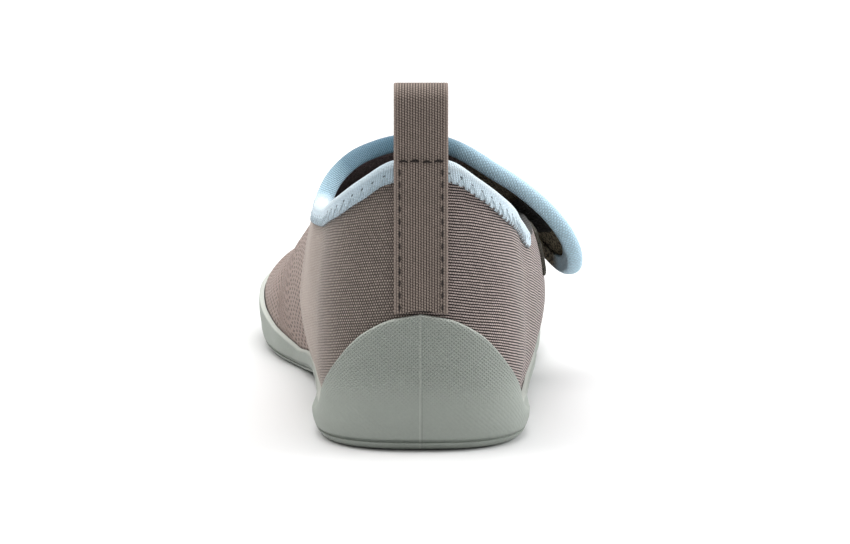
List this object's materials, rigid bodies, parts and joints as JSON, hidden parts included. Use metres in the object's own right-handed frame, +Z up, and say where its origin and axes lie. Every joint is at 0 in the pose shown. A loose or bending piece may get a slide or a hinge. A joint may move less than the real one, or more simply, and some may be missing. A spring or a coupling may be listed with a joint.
{
  "type": "water shoe",
  "caption": "Low child's water shoe: knit upper in a moulded rubber cup sole, taped collar edge, wrap-over hook-and-loop instep strap and a webbing pull loop at the heel.",
  "frame": {"origin": "middle of the underside of the whole shoe's box, on the floor", "axes": "+Y towards the toe, +X towards the outer (little toe) side of the right foot, +Z up"},
  "size_m": [0.0894, 0.1906, 0.0918],
  "materials": {
    "rubber": "matt moulded sage grey with a fine cross-hatched grain on the heel cup",
    "footbed": "dark brushed cloth over foam",
    "knit": "taupe fine-ribbed knit",
    "tape": "pale blue stretch knit tape, folded and stitched",
    "hook_and_loop": "dark olive-brown pile and hooks",
    "webbing": "taupe ribbed webbing with dark stitching"
  },
  "bodies": {
    "root": {"outsole": "rubber", "insole": "footbed", "upper": "knit", "strap": "knit", "edge_binding": "tape", "hook_patch": "hook_and_loop", "loop_patch": "hook_and_loop", "pull_loop": "webbing"}
  },
  "joints": []
}
